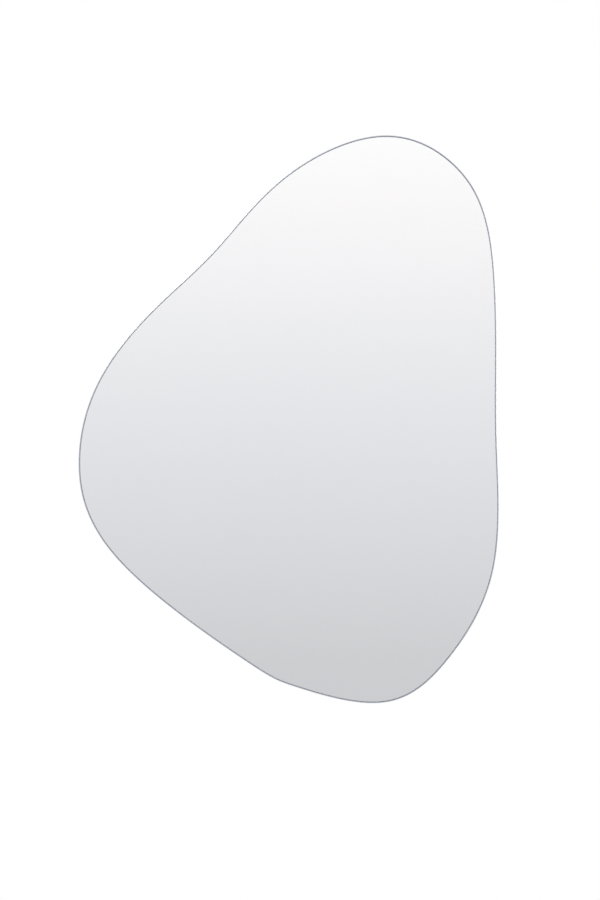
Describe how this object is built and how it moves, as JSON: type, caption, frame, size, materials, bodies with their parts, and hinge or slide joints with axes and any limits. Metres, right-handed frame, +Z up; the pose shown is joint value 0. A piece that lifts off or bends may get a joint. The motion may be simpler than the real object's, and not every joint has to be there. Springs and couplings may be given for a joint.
{
  "type": "irregular wall mirror",
  "caption": "Frameless wall mirror with an asymmetric pebble outline and a polished edge, bonded to a backing board that hangs on interlocking metal rails.",
  "frame": {"origin": "on the wall plane, midway between the wall rail's two screw holes, straight above the mirror's centre of mass", "axes": "+Z up, along the mirror's height; +Y into the wall, along the mirror's thickness; the reflecting front faces -Y; +X to the right of a person who faces the mirror"},
  "size_m": [0.592, 0.0225, 0.8],
  "materials": {
    "glass": "clear float glass with a ground and polished edge, rounded at its corners",
    "silver": "chemically deposited silver, mirror bright",
    "back_paint": "satin grey protective mirror paint",
    "safety_film": "woven-reinforced white adhesive film",
    "foam_tape": "closed-cell white foam with adhesive faces",
    "adhesive": "cured neutral mirror adhesive",
    "fibreboard": "raw medium-density fibreboard with an eased rear edge",
    "rail_aluminium": "mill-finished extrusion",
    "zinc_screws": "bright zinc plate",
    "bumper_rubber": "moulded black rubber"
  },
  "bodies": {
    "wall_side": {"wall_rail": "rail_aluminium"},
    "mirror_panel": {"mirror_glass": "glass", "silver_coating": "silver", "backing_paint": "back_paint", "safety_film": "safety_film", "foam_tape_1": "foam_tape", "foam_tape_2": "foam_tape", "foam_tape_3": "foam_tape", "foam_tape_4": "foam_tape", "foam_tape_5": "foam_tape", "adhesive_bead_1": "adhesive", "adhesive_bead_2": "adhesive", "adhesive_bead_3": "adhesive", "adhesive_bead_4": "adhesive", "backing_board": "fibreboard", "board_rail": "rail_aluminium", "board_rail_screws": "zinc_screws", "bumper_left": "bumper_rubber", "bumper_right": "bumper_rubber", "bumper_screws": "zinc_screws"}
  },
  "joints": [
    {"name": "lift_off", "type": "slide", "parent": "wall_side", "child": "mirror_panel", "axis": [0, 0, 1], "range_m": [0, 0.015]}
  ]
}
